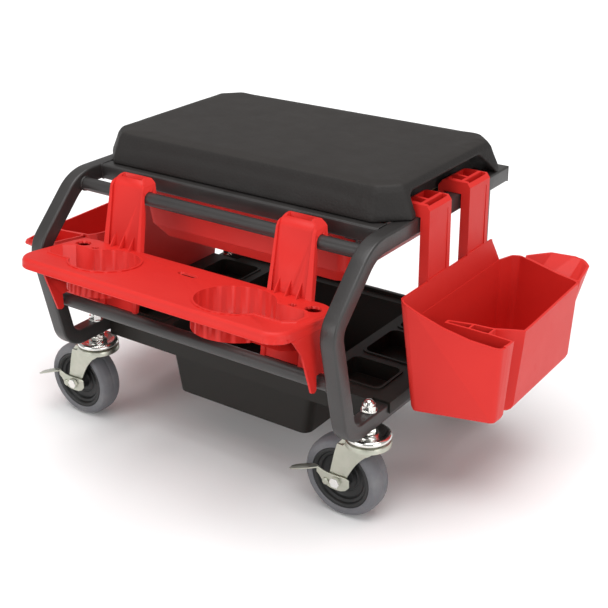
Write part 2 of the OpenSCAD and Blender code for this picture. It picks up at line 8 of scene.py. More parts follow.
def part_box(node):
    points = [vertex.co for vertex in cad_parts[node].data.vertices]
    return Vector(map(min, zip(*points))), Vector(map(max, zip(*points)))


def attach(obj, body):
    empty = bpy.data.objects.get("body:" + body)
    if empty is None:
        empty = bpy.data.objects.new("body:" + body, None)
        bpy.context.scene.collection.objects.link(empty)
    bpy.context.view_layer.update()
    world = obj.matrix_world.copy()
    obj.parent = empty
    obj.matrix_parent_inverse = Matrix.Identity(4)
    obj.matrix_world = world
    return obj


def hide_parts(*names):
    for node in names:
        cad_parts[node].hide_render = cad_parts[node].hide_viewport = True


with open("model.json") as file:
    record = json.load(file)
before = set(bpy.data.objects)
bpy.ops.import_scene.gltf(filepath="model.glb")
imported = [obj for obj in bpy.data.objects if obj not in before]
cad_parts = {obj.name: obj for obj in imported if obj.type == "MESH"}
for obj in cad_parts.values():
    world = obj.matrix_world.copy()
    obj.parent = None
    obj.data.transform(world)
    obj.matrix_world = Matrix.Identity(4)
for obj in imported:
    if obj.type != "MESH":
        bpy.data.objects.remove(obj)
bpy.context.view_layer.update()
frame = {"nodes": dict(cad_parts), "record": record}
NODES = frame["nodes"]
MM = 0.001
TURN = 2 * math.pi
# How far along y the seat board's middle lies from the frame's origin, in metres
SEAT_Y = ((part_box("seat_board")[0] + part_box("seat_board")[1]) / 2).y


def at(x, y, z):
    """A point given in millimetres from the seat's centre line and the floor."""
    return Vector((x * MM, y * MM + SEAT_Y, z * MM))


def clamp(value):
    return min(1.0, max(0.0, value))


# ---------------------------------------------------------------- camera

# Where the camera stands, in millimetres for at()
CAMERA_PLACE = (791.3, -1108.8, 776.6)
# Yaw from straight ahead, tilt down and roll, in degrees
CAMERA_TURN = (35.4, 24.6, -0.5)
# Focal length on a 36 mm sensor, in millimetres
CAMERA_LENS = 68.66


def make_camera():
    """The main view: from the front, to the right and above."""
    cam = bpy.data.objects.new("camera", bpy.data.cameras.new("camera"))
    bpy.context.scene.collection.objects.link(cam)
    cam.data.sensor_width = 36.0
    cam.data.lens = CAMERA_LENS
    cam.data.clip_start = 0.05
    cam.data.clip_end = 30.0
    yaw, pitch, roll = (math.radians(a) for a in CAMERA_TURN)
    back = Vector((math.sin(yaw) * math.cos(pitch), -math.cos(yaw) * math.cos(pitch), math.sin(pitch)))
    level = Vector((math.cos(yaw), math.sin(yaw), 0))
    right = level * math.cos(roll) + back.cross(level) * math.sin(roll)
    pose = Matrix((right, back.cross(right), back)).transposed().to_4x4()
    pose.translation = at(*CAMERA_PLACE)
    cam.matrix_world = pose
    bpy.context.scene.camera = cam


make_camera()


# ---------------------------------------------------------------- materials

class Tree:
    """Short names for building one node material."""

    def __init__(self, name):
        self.mat = bpy.data.materials.new(name)
        self.mat.use_nodes = True
        self.nt = self.mat.node_tree
        self.bsdf = self.nt.nodes["Principled BSDF"]
        self.coord = self.node("ShaderNodeTexCoord").outputs["Object"]

    def node(self, kind, **values):
        n = self.nt.nodes.new(kind)
        for k, v in values.items():
            if k in n.inputs:
                n.inputs[k].default_value = v
            else:
                setattr(n, k, v)
        return n

    def link(self, a, b):
        self.nt.links.new(a, b)

    def noise(self, scale, detail=3.0, rough=0.55, vector=None, distortion=0.0):
        n = self.node("ShaderNodeTexNoise", Scale=scale, Detail=detail, Roughness=rough,
                      Distortion=distortion)
        self.link(vector or self.coord, n.inputs["Vector"])
        return n.outputs["Fac"]

    def cells(self, scale):
        n = self.node("ShaderNodeTexVoronoi", feature="SMOOTH_F1", Scale=scale)
        self.link(self.coord, n.inputs["Vector"])
        return n.outputs["Distance"]

    def ramp(self, fac, lo, hi, a=0.0, b=1.0):
        n = self.node("ShaderNodeMapRange")
        for k, v in (("From Min", lo), ("From Max", hi), ("To Min", a), ("To Max", b)):
            n.inputs[k].default_value = v
        self.link(fac, n.inputs["Value"])
        return n.outputs["Result"]

    def math(self, op, a, b=None):
        n = self.node("ShaderNodeMath", operation=op)
        for i, v in enumerate((a, b)):
            if v is None:
                continue
            if isinstance(v, (int, float)):
                n.inputs[i].default_value = v
            else:
                self.link(v, n.inputs[i])
        return n.outputs[0]

    def mix(self, fac, a, b):
        n = self.node("ShaderNodeMix", data_type="RGBA")
        for sock, v in ((n.inputs[0], fac), (n.inputs[6], a), (n.inputs[7], b)):
            if isinstance(v, (int, float)):
                sock.default_value = v
            elif isinstance(v, (tuple, list)):
                sock.default_value = (*v, 1.0)
            else:
                self.link(v, sock)
        return n.outputs[2]

    def color(self, out):
        self.link(out, self.bsdf.inputs["Base Color"])

    def rough(self, out):
        self.link(out, self.bsdf.inputs["Roughness"])

    def bump(self, height, strength, distance, after=None):
        n = self.node("ShaderNodeBump", Strength=strength, Distance=distance)
        self.link(height, n.inputs["Height"])
        if after is not None:
            self.link(after, n.inputs["Normal"])
        self.link(n.outputs["Normal"], self.bsdf.inputs["Normal"])
        return n.outputs["Normal"]

    def set(self, **values):
        for k, v in values.items():
            self.bsdf.inputs[k.replace("_", " ")].default_value = v

    def normal_z(self):
        g = self.node("ShaderNodeNewGeometry")
        s = self.node("ShaderNodeSeparateXYZ")
        self.link(g.outputs["Normal"], s.inputs[0])
        return s.outputs["Z"]


def plastic(name, base, deep, rough, grain, gloss):
    """Moulded plastic: faint flow marks, a fine skin texture and uneven gloss."""
    t = Tree(name)
    flow = t.noise(7.0, 4.0, 0.6, distortion=0.6)
    fine = t.noise(1400.0, 2.0)
    t.color(t.mix(t.ramp(flow, 0.3, 0.75), base, deep))
    scuff = t.math("MULTIPLY", t.ramp(t.noise(60.0, 6.0, 0.7), 0.55, 0.8), 0.08)
    t.rough(t.math("ADD", t.ramp(flow, 0.2, 0.8, rough - 0.04, rough + 0.06), scuff))
    skin = t.bump(fine, grain, 0.0004)
    t.bump(t.noise(26.0, 2.0), 0.06, 0.004, skin)
    t.set(Specular_IOR_Level=gloss)
    return t.mat


def powder_coat():
    """Black paint with an orange-peel skin."""
    t = Tree("frame_paint")
    peel = t.noise(420.0, 2.0, 0.5)
    t.color(t.mix(t.ramp(t.noise(12.0), 0.35, 0.7), (0.020, 0.018, 0.0175), (0.027, 0.0245, 0.0235)))
    t.rough(t.ramp(t.noise(30.0, 5.0), 0.3, 0.7, 0.34, 0.46))
    t.bump(peel, 0.22, 0.0008)
    t.set(Specular_IOR_Level=0.5, Coat_Weight=0.15, Coat_Roughness=0.25)
    return t.mat


def vinyl():
    """Seat cover: smooth on the flat top and pebbled on the sides, with painted shade making the sides darker
    than the top.
    """
    t = Tree("seat_vinyl")
    # side mask: 1 on the sides, 0 on the flat top; it paints shade on the sides and also sets their real
    # pebble and roughness
    side = t.ramp(t.normal_z(), 0.93, 0.7)
    pebble = t.math("SUBTRACT", 1.0, t.cells(420.0))
    cloud = t.noise(9.0, 4.0)
    top = t.mix(t.ramp(cloud, 0.3, 0.7), (0.0195, 0.0165, 0.015), (0.0235, 0.020, 0.018))
    # Painted shade: the sides get a darker colour than the top because of where they face
    t.color(t.mix(side, top, (0.016, 0.014, 0.013)))
    worn = t.ramp(t.noise(40.0, 5.0), 0.3, 0.7, 0.50, 0.60)
    t.rough(t.math("ADD", worn, t.math("MULTIPLY", side, 0.06)))
    wrinkle = t.bump(t.noise(55.0, 5.0, 0.6, distortion=1.2), 0.02, 0.003)
    t.bump(t.math("MULTIPLY", pebble, t.ramp(side, 0.0, 1.0, 0.25, 1.0)), 0.35, 0.0009, wrinkle)
    t.set(Specular_IOR_Level=0.28)
    return t.mat


def zinc(name, base, tint, rough):
    """Plated steel with a cloudy tint and uneven shine."""
    t = Tree(name)
    cloud = t.noise(60.0, 5.0, 0.6, distortion=0.8)
    t.color(t.mix(t.ramp(cloud, 0.35, 0.7), base, tint))
    t.rough(t.ramp(t.noise(180.0, 6.0, 0.7), 0.3, 0.75, rough - 0.07, rough + 0.12))
    t.bump(t.noise(700.0, 3.0), 0.12, 0.0005)
    t.set(Metallic=1.0)
    return t.mat


def rubber():
    """Grey tyre with dust in its skin."""
    t = Tree("tyre_rubber")
    dust = t.ramp(t.noise(45.0, 6.0, 0.65), 0.45, 0.75)
    t.color(t.mix(dust, (0.126, 0.126, 0.137), (0.174, 0.172, 0.177)))
    t.rough(t.ramp(dust, 0.0, 1.0, 0.55, 0.72))
    t.bump(t.noise(900.0, 3.0), 0.15, 0.0006)
    t.set(Specular_IOR_Level=0.4)
    return t.mat


def plywood():
    """Wood grain drawn out along x."""
    t = Tree("plywood")
    stretch = t.node("ShaderNodeMapping")
    stretch.inputs["Scale"].default_value = (6.0, 90.0, 220.0)
    t.link(t.coord, stretch.inputs["Vector"])
    grain = t.noise(1.0, 8.0, 0.6, stretch.outputs["Vector"], 0.8)
    t.color(t.mix(t.ramp(grain, 0.3, 0.7), (0.44, 0.29, 0.15), (0.30, 0.18, 0.09)))
    t.rough(t.ramp(grain, 0.3, 0.7, 0.6, 0.75))
    t.bump(grain, 0.3, 0.0006)
    return t.mat


# Moulded plastics take a base and a deeper colour, roughness, skin depth and gloss
MATS = {
    "frame_paint": powder_coat(),
    "black_plastic": plastic(
        "black_plastic", (0.0135, 0.0115, 0.0095), (0.018, 0.0155, 0.013), 0.46, 0.25, 0.22),
    "red_plastic": plastic("red_plastic", (0.635, 0.024, 0.018), (0.59, 0.019, 0.015), 0.44, 0.10, 0.25),
    "seat_vinyl": vinyl(),
    "plywood": plywood(),
    "zinc_plate": zinc("zinc_plate", (0.50, 0.50, 0.43), (0.44, 0.455, 0.38), 0.34),
    "chrome": zinc("chrome", (0.80, 0.80, 0.78), (0.74, 0.73, 0.68), 0.16),
    "hub_plastic": plastic("hub_plastic", (0.012, 0.012, 0.012), (0.02, 0.02, 0.02), 0.42, 0.2, 0.35),
    "tyre_rubber": rubber(),
}


# ---------------------------------------------------------------- frame nodes

def paint(obj, mat):
    obj.data.materials.clear()
    obj.data.materials.append(mat)


def round_edges(obj, width, angle):
    """Rounds the edges that turn by more than angle degrees; width is in millimetres."""
    bevel = obj.modifiers.new("round", "BEVEL")
    bevel.width = width * MM
    bevel.segments = 2
    bevel.limit_method = "ANGLE"
    bevel.angle_limit = math.radians(angle)


def soften(obj, width):
    """Rounds a CAD node's hard edges so that they catch the light, and keeps its flats flat."""
    weld = obj.modifiers.new("weld", "WELD")
    weld.merge_threshold = 4e-6
    flat = obj.modifiers.new("flat", "DECIMATE")
    flat.decimate_type = "DISSOLVE"
    flat.angle_limit = math.radians(0.6)
    round_edges(obj, width, 30)
    normals = obj.modifiers.new("flats", "WEIGHTED_NORMAL")
    normals.keep_sharp = False


# Edge rounding of the CAD nodes that are shown as they are, in millimetres
EDGES = {
    "base_tray": 0.9,
    "drawer": 0.7,
    "front_tray": 0.5,
    "bin_left": 0.6,
    "bin_right": 0.6,
    "rail_end_caps": 0.8,
    "stem_nuts": 0.4,
    "stem_washers": 0.3,
    "tray_screws": 0.4,
    "drawer_guide_left": 0.4,
    "drawer_guide_right": 0.4,
    "seat_board": 0.5,
    "seat_screws": 0.2,
}
SHINY = ("stem_nuts", "stem_washers", "tray_screws")


def dress_nodes():
    """Gives every CAD node its material, smooth shading and edge rounding."""
    slots = {s["node"]: s["material_slot"] for s in frame["record"]["subparts"]}
    for name, obj in NODES.items():
        paint(obj, MATS["chrome" if name in SHINY else slots[name]])
        obj.data.polygons.foreach_set("use_smooth", [True] * len(obj.data.polygons))
    for name, width in EDGES.items():
        soften(NODES[name], width)


dress_nodes()


# ---------------------------------------------------------------- building pieces

def link(name, mesh, mat, body):
    """Puts a mesh in the scene as a finished piece on a body."""
    o = bpy.data.objects.new(name, mesh)
    bpy.context.scene.collection.objects.link(o)
    mesh.polygons.foreach_set("use_smooth", [True] * len(mesh.polygons))
    mesh.materials.clear()
    mesh.materials.append(mat)
    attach(o, body)
    return o


def applied(obj):
    """The object's mesh with every modifier taken in."""
    dg = bpy.context.evaluated_depsgraph_get()
    dg.update()
    return bpy.data.meshes.new_from_object(obj.evaluated_get(dg))


def finished(bm, name):
    """Ends a bmesh: joins its doubled corners and turns every face outward."""
    bmesh.ops.remove_doubles(bm, verts=bm.verts, dist=1e-6)
    bmesh.ops.recalc_face_normals(bm, faces=bm.faces)
    me = bpy.data.meshes.new(name)
    bm.to_mesh(me)
    bm.free()
    return me


# ---------------------------------------------------------------- seat pad

# Pad sizes are in metres; heights are above its underside unless a comment says otherwise
PAD_VOXEL = 0.003
# Its foot, up to this height, doesn't swell
PAD_FOOT = 0.009
# Smoothing grows from nothing at the first height to its full strength over the second one
PAD_EASE_FROM = 0.003
PAD_EASE_OVER = 0.012
# Swelling grows in the same way
PAD_SWELL_FROM = 0.006
PAD_SWELL_OVER = 0.02
# The end walls, from this x outward and up to this far below the top, swell less, clear of the bins' hooks
PAD_END_X = 0.176
PAD_END_TOP = 0.006
PAD_SWELL = 0.0012
PAD_END_SWELL = 0.0004
CLOTH_FRAMES = 20


def ease(obj, foot_z, rounds):
    """Smooths the pad's edges, but not those of its underside, which is at foot_z."""
    group = obj.vertex_groups.new(name="upper")
    for v in obj.data.vertices:
        group.add([v.index], clamp((v.co.z - foot_z - PAD_EASE_FROM) / PAD_EASE_OVER), "REPLACE")
    m = obj.modifiers.new("ease", "SMOOTH")
    m.factor = 0.5
    m.iterations = rounds
    m.vertex_group = "upper"
    me = applied(obj)
    obj.modifiers.clear()
    obj.vertex_groups.clear()
    obj.data = me


def voxel_copy(node):
    """A copy of a node in small even faces, which cloth needs."""
    work = bpy.data.objects.new("seat_work", NODES[node].data.copy())
    bpy.context.scene.collection.objects.link(work)
    weld = work.modifiers.new("weld", "WELD")
    weld.merge_threshold = 1e-5
    remesh = work.modifiers.new("remesh", "REMESH")
    remesh.mode = "VOXEL"
    remesh.voxel_size = PAD_VOXEL
    remesh.adaptivity = 0.0
    me = applied(work)
    work.modifiers.clear()
    work.data = me
    return work


def swell_limit(p, lo, hi):
    """How far the filling may push the point p out; lo and hi are the pad's box."""
    if p.z < lo.z + PAD_FOOT:
        return 0.0
    on_end = abs(p.x) > PAD_END_X and p.z < hi.z - PAD_END_TOP
    growth = clamp((p.z - lo.z - PAD_SWELL_FROM) / PAD_SWELL_OVER)
    return growth * (PAD_END_SWELL if on_end else PAD_SWELL)


def inflate(work, lo, hi):
    """Blows the pad up as cloth under pressure, and holds each point to its limit."""
    rest = [v.co.copy() for v in work.data.vertices]
    limits = [swell_limit(p, lo, hi) for p in rest]
    pin = work.vertex_groups.new(name="pin")
    pin.add([i for i, limit in enumerate(limits) if limit == 0.0], 1.0, "REPLACE")
    c = work.modifiers.new("cloth", "CLOTH")
    c.settings.quality = 5
    c.settings.use_pressure = True
    c.settings.uniform_pressure_force = 4.0
    c.settings.tension_stiffness = c.settings.compression_stiffness = 30.0
    c.settings.vertex_group_mass = "pin"
    c.settings.effector_weights.gravity = 0.0
    c.collision_settings.use_collision = False
    scene = bpy.context.scene
    for f in range(1, CLOTH_FRAMES + 1):
        scene.frame_set(f)
    puffed = applied(work)
    work.modifiers.clear()
    for v, p, q, limit in zip(work.data.vertices, rest, puffed.vertices, limits):
        push = q.co - p
        v.co = p + push.normalized() * min(push.length, limit)
    scene.frame_set(1)
    bpy.data.meshes.remove(puffed)


def make_seat():
    """The padded cover: voxels, eased edges, a cloth puff and a last easing."""
    work = voxel_copy("seat_cushion")
    lo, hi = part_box("seat_cushion")
    ease(work, lo.z, 5)
    inflate(work, lo, hi)
    ease(work, lo.z, 2)
    me = work.data
    bpy.data.objects.remove(work)
    pad = link("seat_pad", me, MATS["seat_vinyl"], "frame")
    sub = pad.modifiers.new("fine", "SUBSURF")
    sub.levels = sub.render_levels = 1
    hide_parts("seat_cushion")


make_seat()


# ---------------------------------------------------------------- casters

# Caster shapes are in millimetres from the kingpin's line and the floor, with the wheel
# behind the kingpin. A turned profile is a list of (radius, place along the axis).
CORNERS = ("fl", "fr", "rl", "rr")
TRAIL = 28
AXLE_Z = 50
# Radius left at a turned solid's axis
TIP = 0.01

FORK_CROWN = [
    (6.3, 103.2), (6.3, 106.6), (19, 106.7), (23.4, 106.3), (25.8, 104.9), (26.6, 102.6), (26.7, 99.4),
    (25.4, 98.8), (24.9, 101.6), (22.5, 103.2),
]
# Rear and front edge of the fork's legs as (height, x), upward
FORK_REAR = [
    (39.2, -29), (40.5, -33.5), (43, -37), (47, -39.3), (52, -39.8), (61, -37.5), (84, -33), (97, -29.5),
    (105, -23),
]
FORK_FRONT = [
    (39.2, -27), (40.5, -23), (43, -20), (47, -17.6), (52, -16.6), (58, -15.4), (64, -12.4), (71, -8.6),
    (79, -3.6), (88, 3.6), (94, 9.5), (98, 15.5), (101, 19), (105, 19),
]
# Heights between the outlines' own at which the legs are drawn as well
FORK_EXTRA_Z = {68, 75, 91}
# Half of the fork's outside width at the axle, and its plate's thickness
FORK_HALF = 20.0
FORK_PLATE = 2.4
# In front of this x the legs flare out, behind it they draw in, and both grow between the two heights
FORK_FLARE_X = -13
FORK_FLARE_Z = (58, 96)
FORK_FLARE = 2.6
FORK_DRAW_IN = 1.1
# Above this height the legs stay inside the crown's radius
FORK_CROWN_Z = 99
FORK_CROWN_R = 26.4
FORK_COLUMNS = 12

RACE = [
    (5.9, 97.6), (8.4, 97.6), (9, 98.4), (9, 101.4), (8.4, 102), (5.9, 102), (5.9, 107.6), (23, 107.7),
    (25.6, 107.9), (26.5, 108.9), (26.6, 110.4), (25.9, 112.3), (24.4, 113.6), (22.6, 113.8), (20.6, 113.0),
    (19.2, 111.8), (12, 111.6), (11.4, 112.2), (11.4, 113.6), (10.6, 114.2), (6.8, 114.2), (6.8, 121.8),
    (TIP, 121.8), (TIP, 97.6),
]
# Half profiles of the tyre and the hub, from the inside out on one face
TYRE_HALF = [
    (38.2, 14.2), (39.5, 14.75), (44.2, 14.9), (45.6, 14.6), (46.9, 13.4), (48.6, 10.4), (49.5, 7.6),
    (49.85, 4.0), (49.95, 0.35), (49.8, 0.12),
]
HUB_HALF = [
    (6.1, 16.8), (10.2, 16.8), (11, 16.2), (11.6, 8.2), (12.6, 6.6), (17.2, 6.2), (18.0, 7.0), (19.4, 7.0),
    (20.2, 6.2), (26.4, 6.4), (27.6, 7.4), (28.8, 9.8), (30.4, 10.4), (32.2, 10.6), (33.0, 12.8),
    (34.2, 13.9), (36.8, 14.1), (37.9, 13.6),
]
# The kingpin's nut: its underside's height, width over the flats and height
KINGPIN_NUT = (114.2, 16, 6)
# The axle bolt's head and nut: width over the flats, and where each starts from the middle
AXLE_FLATS = 12
BRAKED_HEAD_Y = 22.9
PLAIN_HEAD_Y = 20.3
AXLE_NUT_Y = 25.2
# Brake lever: the plate as (x, lower z, upper z) and the toe pad as (x, z, inner y, outer y)
LEVER_PLATE = [
    (-11, 47, 57), (-16, 41.5, 58), (-22, 39, 58), (-29, 38.4, 57.6), (-36, 38.8, 57.5), (-42, 40.6, 58),
    (-47, 45, 59), (-51, 50.5, 60.4), (-55, 54, 61),
]
TOE_PAD = [
    (-52.5, 60.6, 22.2, 20.7), (-56, 60.3, 26, 19.2), (-60, 59.2, 28, 17.2), (-66, 57.2, 29, 16.6),
    (-74, 54.2, 29.4, 16.6), (-82, 50.8, 29, 16.8), (-88, 48.2, 27.4, 17.8), (-91.4, 46.6, 24.8, 20),
]
LEVER_Y = 20.6
LEVER_THICK = 1.7
TOE_THICK = 1.8
# The plate's dish, round a middle at (x, z)
DISH_DEPTH = 0.8
DISH_AT = (-28, 49)
RIVET_AT = (-42, 0, 46)
RIVET = [(TIP, 20.7), (4.4, 20.7), (4.4, 23.4), (3.8, 24.2), (TIP, 24.4)]


def corner_point(bm, x, y, z):
    return bm.verts.new(Vector((x, y, z)) * MM)


def spun(bm, profile, axis, centre, steps=72):
    """Turns a closed profile of (radius, along) round a Z or Y axis through centre."""
    rings = []
    for i in range(steps):
        a = TURN * i / steps
        ring = []
        for r, h in profile:
            c, s = r * math.cos(a), r * math.sin(a)
            spot = (c, -h, s) if axis == "Y" else (c, s, h)
            ring.append(bm.verts.new(Vector(spot) * MM + Vector(centre) * MM))
        rings.append(ring)
    n = len(profile)
    for a, b in zip(rings, rings[1:] + rings[:1]):
        for k in range(n):
            bm.faces.new((a[k], b[k], b[(k + 1) % n], a[(k + 1) % n]))


def plate(bm, front, back):
    """Closes two matching grids of corners into a plate."""
    rows = len(front) - 1
    columns = len(front[0]) - 1
    for grid in (front, back):
        for a, b in zip(grid, grid[1:]):
            for k in range(columns):
                bm.faces.new((a[k], a[k + 1], b[k + 1], b[k]))
    for i in range(rows):
        for k in (0, columns):
            bm.faces.new((front[i][k], back[i][k], back[i + 1][k], front[i + 1][k]))
    for i in (0, rows):
        for k in range(columns):
            bm.faces.new((front[i][k], back[i][k], back[i][k + 1], front[i][k + 1]))


def two_sided(half):
    """Closes a half profile, listed from the bore out on one face, with its mirror image."""
    return half + [(r, -h) for r, h in reversed(half)]


def curve_at(points, t):
    """Straight-line lookup in (t, value) pairs that run upward in t."""
    for (a, va), (b, vb) in zip(points, points[1:]):
        if t <= b:
            return va + (vb - va) * max(0.0, (t - a) / (b - a))
    return points[-1][1]


def fork_half(x, z):
    """Half of the fork's outside width: its legs flare in front and draw in behind as they rise."""
    low, high = FORK_FLARE_Z
    rise = clamp((z - low) / (high - low))
    if x > FORK_FLARE_X:
        y = FORK_HALF + FORK_FLARE * rise * min(1.0, (x - FORK_FLARE_X) / 24) ** 0.8
    else:
        y = FORK_HALF - FORK_DRAW_IN * rise * min(1.0, (FORK_FLARE_X - x) / 15)
    if z > FORK_CROWN_Z:
        y = min(y, math.sqrt(max(1.0, FORK_CROWN_R ** 2 - x * x)))
    return y


def fork_mesh():
    bm = bmesh.new()
    spun(bm, FORK_CROWN, "Z", (0, 0, 0))
    levels = sorted({z for z, _ in FORK_REAR + FORK_FRONT} | FORK_EXTRA_Z)
    for side in (-1, 1):
        outer = []
        inner = []
        for z in levels:
            x0, x1 = curve_at(FORK_REAR, z), curve_at(FORK_FRONT, z)
            line = [x0 + (x1 - x0) * k / FORK_COLUMNS for k in range(FORK_COLUMNS + 1)]
            spots = [(x, fork_half(x, z)) for x in line]
            outer.append([corner_point(bm, x, side * y, z) for x, y in spots])
            inner.append([corner_point(bm, x, side * max(FORK_HALF - FORK_PLATE, y - FORK_PLATE), z)
                          for x, y in spots])
        plate(bm, outer, inner)
    return finished(bm, "fork")


def hex_nut(bm, centre, axis, across, height):
    """Six-sided nut with chamfered ends; across is its width over the flats."""
    r = across / math.sqrt(3)
    chamfer = r * 0.06
    end = r * 0.93
    profile = [(TIP, 0), (end, 0), (r, chamfer), (r, height - chamfer), (end, height), (TIP, height)]
    spun(bm, profile, axis, centre, 6)


def head_mesh():
    """Bearing race, kingpin and the nut on top of it."""
    bm = bmesh.new()
    spun(bm, RACE, "Z", (0, 0, 0), 80)
    z, flats, height = KINGPIN_NUT
    hex_nut(bm, (0, 0, z), "Z", flats, height)
    return finished(bm, "race")


def wheel_mesh(name, half, steps):
    bm = bmesh.new()
    spun(bm, two_sided(half), "Y", (-TRAIL, 0, AXLE_Z), steps)
    return finished(bm, name)


def axle_mesh(head):
    """Axle bolt with its nut; its hexagon head starts at this distance from the middle."""
    bm = bmesh.new()
    shank = [(TIP, -26.5), (3.2, -26.5), (3.9, -25.8), (3.9, head + 1), (TIP, head + 1)]
    spun(bm, shank, "Y", (-TRAIL, 0, AXLE_Z), 32)
    hex_nut(bm, (-TRAIL, -head, AXLE_Z), "Y", AXLE_FLATS, 4.4)
    hex_nut(bm, (-TRAIL, AXLE_NUT_Y, AXLE_Z), "Y", AXLE_FLATS, 4.8)
    return finished(bm, "axle")


def plate_grid(bm, lift):
    """The brake plate's face, dished round the axle and moved out by lift."""
    steps = 6
    grid = []
    for x, z0, z1 in LEVER_PLATE:
        line = []
        for k in range(steps + 1):
            z = z0 + (z1 - z0) * k / steps
            dish = DISH_DEPTH * math.exp(-(((x - DISH_AT[0]) / 9) ** 2 + ((z - DISH_AT[1]) / 7) ** 2))
            line.append(corner_point(bm, x, -(LEVER_Y + dish + lift), z))
        grid.append(line)
    return grid


def toe_grid(bm, lift):
    """The toe pad's face, hollowed along its middle and moved up by lift."""
    steps = 4
    grid = []
    for x, z, y0, y1 in TOE_PAD:
        line = []
        for k in range(steps + 1):
            hollow = 0.5 * math.sin(math.pi * k / steps)
            line.append(corner_point(bm, x, -(y0 + (y1 - y0) * k / steps), z + lift - hollow))
        grid.append(line)
    return grid


def lever_mesh():
    """Pressed brake lever: a dished plate on the axle, a broad toe pad and a rivet."""
    bm = bmesh.new()
    plate(bm, plate_grid(bm, 0), plate_grid(bm, LEVER_THICK))
    plate(bm, toe_grid(bm, TOE_THICK / 2), toe_grid(bm, -TOE_THICK / 2))
    spun(bm, RIVET, "Y", RIVET_AT, 24)
    return finished(bm, "lever")


def stem_place(corner):
    lo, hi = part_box("caster_head_" + corner)
    return Vector(((lo.x + hi.x) / 2, (lo.y + hi.y) / 2, 0))


def make_casters():
    """Four casters; the front two have a brake lever and so a bolt head further out."""
    braked_axle = axle_mesh(BRAKED_HEAD_Y)
    plain_axle = axle_mesh(PLAIN_HEAD_Y)
    race, fork, lever = head_mesh(), fork_mesh(), lever_mesh()
    tyre = wheel_mesh("tyre", TYRE_HALF, 128)
    hub = wheel_mesh("hub", HUB_HALF, 96)
    for c in CORNERS:
        here = stem_place(c)
        braked = c[0] == "f"
        axle = braked_axle if braked else plain_axle
        # piece, its mesh, material, body, slot, the node it stands for and its edge rounding
        plan = [
            ("race_", race, "chrome", "frame", "zinc_plate", "caster_head_", 0.3),
            ("fork_", fork, "zinc_plate", "fork_" + c, "zinc_plate", "caster_fork_", 0.5),
            ("axle_", axle, "chrome", "fork_" + c, "zinc_plate", "caster_axle_", 0),
            ("tyre_", tyre, "tyre_rubber", "wheel_" + c, "tyre_rubber", "wheel_tyre_", 0),
            ("hub_", hub, "hub_plastic", "wheel_" + c, "hub_plastic", "wheel_hub_", 0.4),
        ]
        if braked:
            plan.append(("lever_", lever, "zinc_plate", "brake_" + c, "zinc_plate", "brake_lever_", 0.5))
        for piece, shape, mat, body, slot_name, node, edge in plan:
            me = shape.copy()
            me.transform(Matrix.Translation(here))
            o = link(piece + c, me, MATS[mat], body)
            me.set_sharp_from_angle(angle=math.radians(40))
            if edge:
                round_edges(o, edge, 40)
            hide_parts(node + c)


make_casters()


# ---------------------------------------------------------------- frame tubes

# Frame sizes are in millimetres, for at(); a place across the frame is (y, z)
TUBE_HALF = 9.5
TUBE_CORNER_R = 2.6
ROUND_R = 8
# Middle of the side frames and of the rear legs, and where the cross pieces end
SIDE_X = 208.5
LEG_X = 188
CROSS_X = 199
SEAT_RAIL_Z = 334.5
BASE_RAIL_Z = 131.5
FRONT_RAIL_Y = -132
REAR_RAIL_Y = 115.5
FRONT_RAIL = (FRONT_RAIL_Y, SEAT_RAIL_Z)
REAR_RAIL = (REAR_RAIL_Y, SEAT_RAIL_Z)
BASE_RAIL = (REAR_RAIL_Y, BASE_RAIL_Z)
UPPER_TUBE = (-170, 327)
LOWER_TUBE = (-228.5, 198)
LEG_Z = (141, 325)
# The side frame's route, from its top rear end round the front to its bottom one, and the radius of each bend
ROUTE = [
    (125, SEAT_RAIL_Z), (-175, SEAT_RAIL_Z), (-243.4, 266.1), (-215.5, BASE_RAIL_Z), (125, BASE_RAIL_Z),
]
BENDS = [0, 50, 27, 25, 0]
# Screw tabs on the seat rails: their middles along x and along y, half length, height and section
TAB_X = (-100, 100)
FRONT_TAB_Y = -114.5
REAR_TAB_Y = 98.5
TAB_HALF = 16
TAB_Z = 342.5
TAB_SECTION = [
    (13.5, 1.4), (13.2, 1.5), (-13.2, 1.5), (-13.5, 1.4), (-13.5, -1.4), (-13.2, -1.5), (13.2, -1.5),
    (13.5, -1.4),
]
# Weld beads: the half width where they lie on the side frames, and their thickness
ROUND_WELD_X = 198.2
SQUARE_WELD_X = 198.4
ROUND_WELD = 1.3
SQUARE_WELD = 1.1


def square_ring(half, r, steps=5):
    """Corner-rounded square section as (across, up) pairs."""
    out = []
    for q, (sx, sz) in enumerate(((1, 1), (-1, 1), (-1, -1), (1, -1))):
        for k in range(steps + 1):
            a = math.pi / 2 * (q + k / steps)
            out.append((sx * (half - r) + r * math.cos(a), sz * (half - r) + r * math.sin(a)))
    return out


def circle(r, steps):
    return [(r * math.cos(TURN * k / steps), r * math.sin(TURN * k / steps)) for k in range(steps)]


SQUARE = square_ring(TUBE_HALF, TUBE_CORNER_R)
ROUND = circle(ROUND_R, 48)


def bent_path(points, radii, steps=14):
    """(y, z, heading) stations along a route that turns left at each corner."""
    heads = [math.atan2(b[1] - a[1], b[0] - a[0]) for a, b in zip(points, points[1:])]
    out = [(*points[0], heads[0])]
    for i in range(1, len(points) - 1):
        h0 = heads[i - 1]
        turn = (heads[i] - h0) % TURN
        r = radii[i]
        t = r * math.tan(turn / 2)
        cx = points[i][0] - t * math.cos(h0) - r * math.sin(h0)
        cz = points[i][1] - t * math.sin(h0) + r * math.cos(h0)
        for k in range(steps + 1):
            h = h0 + turn * k / steps
            out.append((cx + r * math.sin(h), cz - r * math.cos(h), h))
    out.append((*points[-1], heads[-1]))
    return out


def sleeve(bm, rings):
    """Joins each ring of corners to the next and closes both ends."""
    for a, b in zip(rings, rings[1:]):
        for k in range(len(a)):
            bm.faces.new((a[k - 1], a[k], b[k], b[k - 1]))
    bm.faces.new(rings[0])
    bm.faces.new(rings[-1])


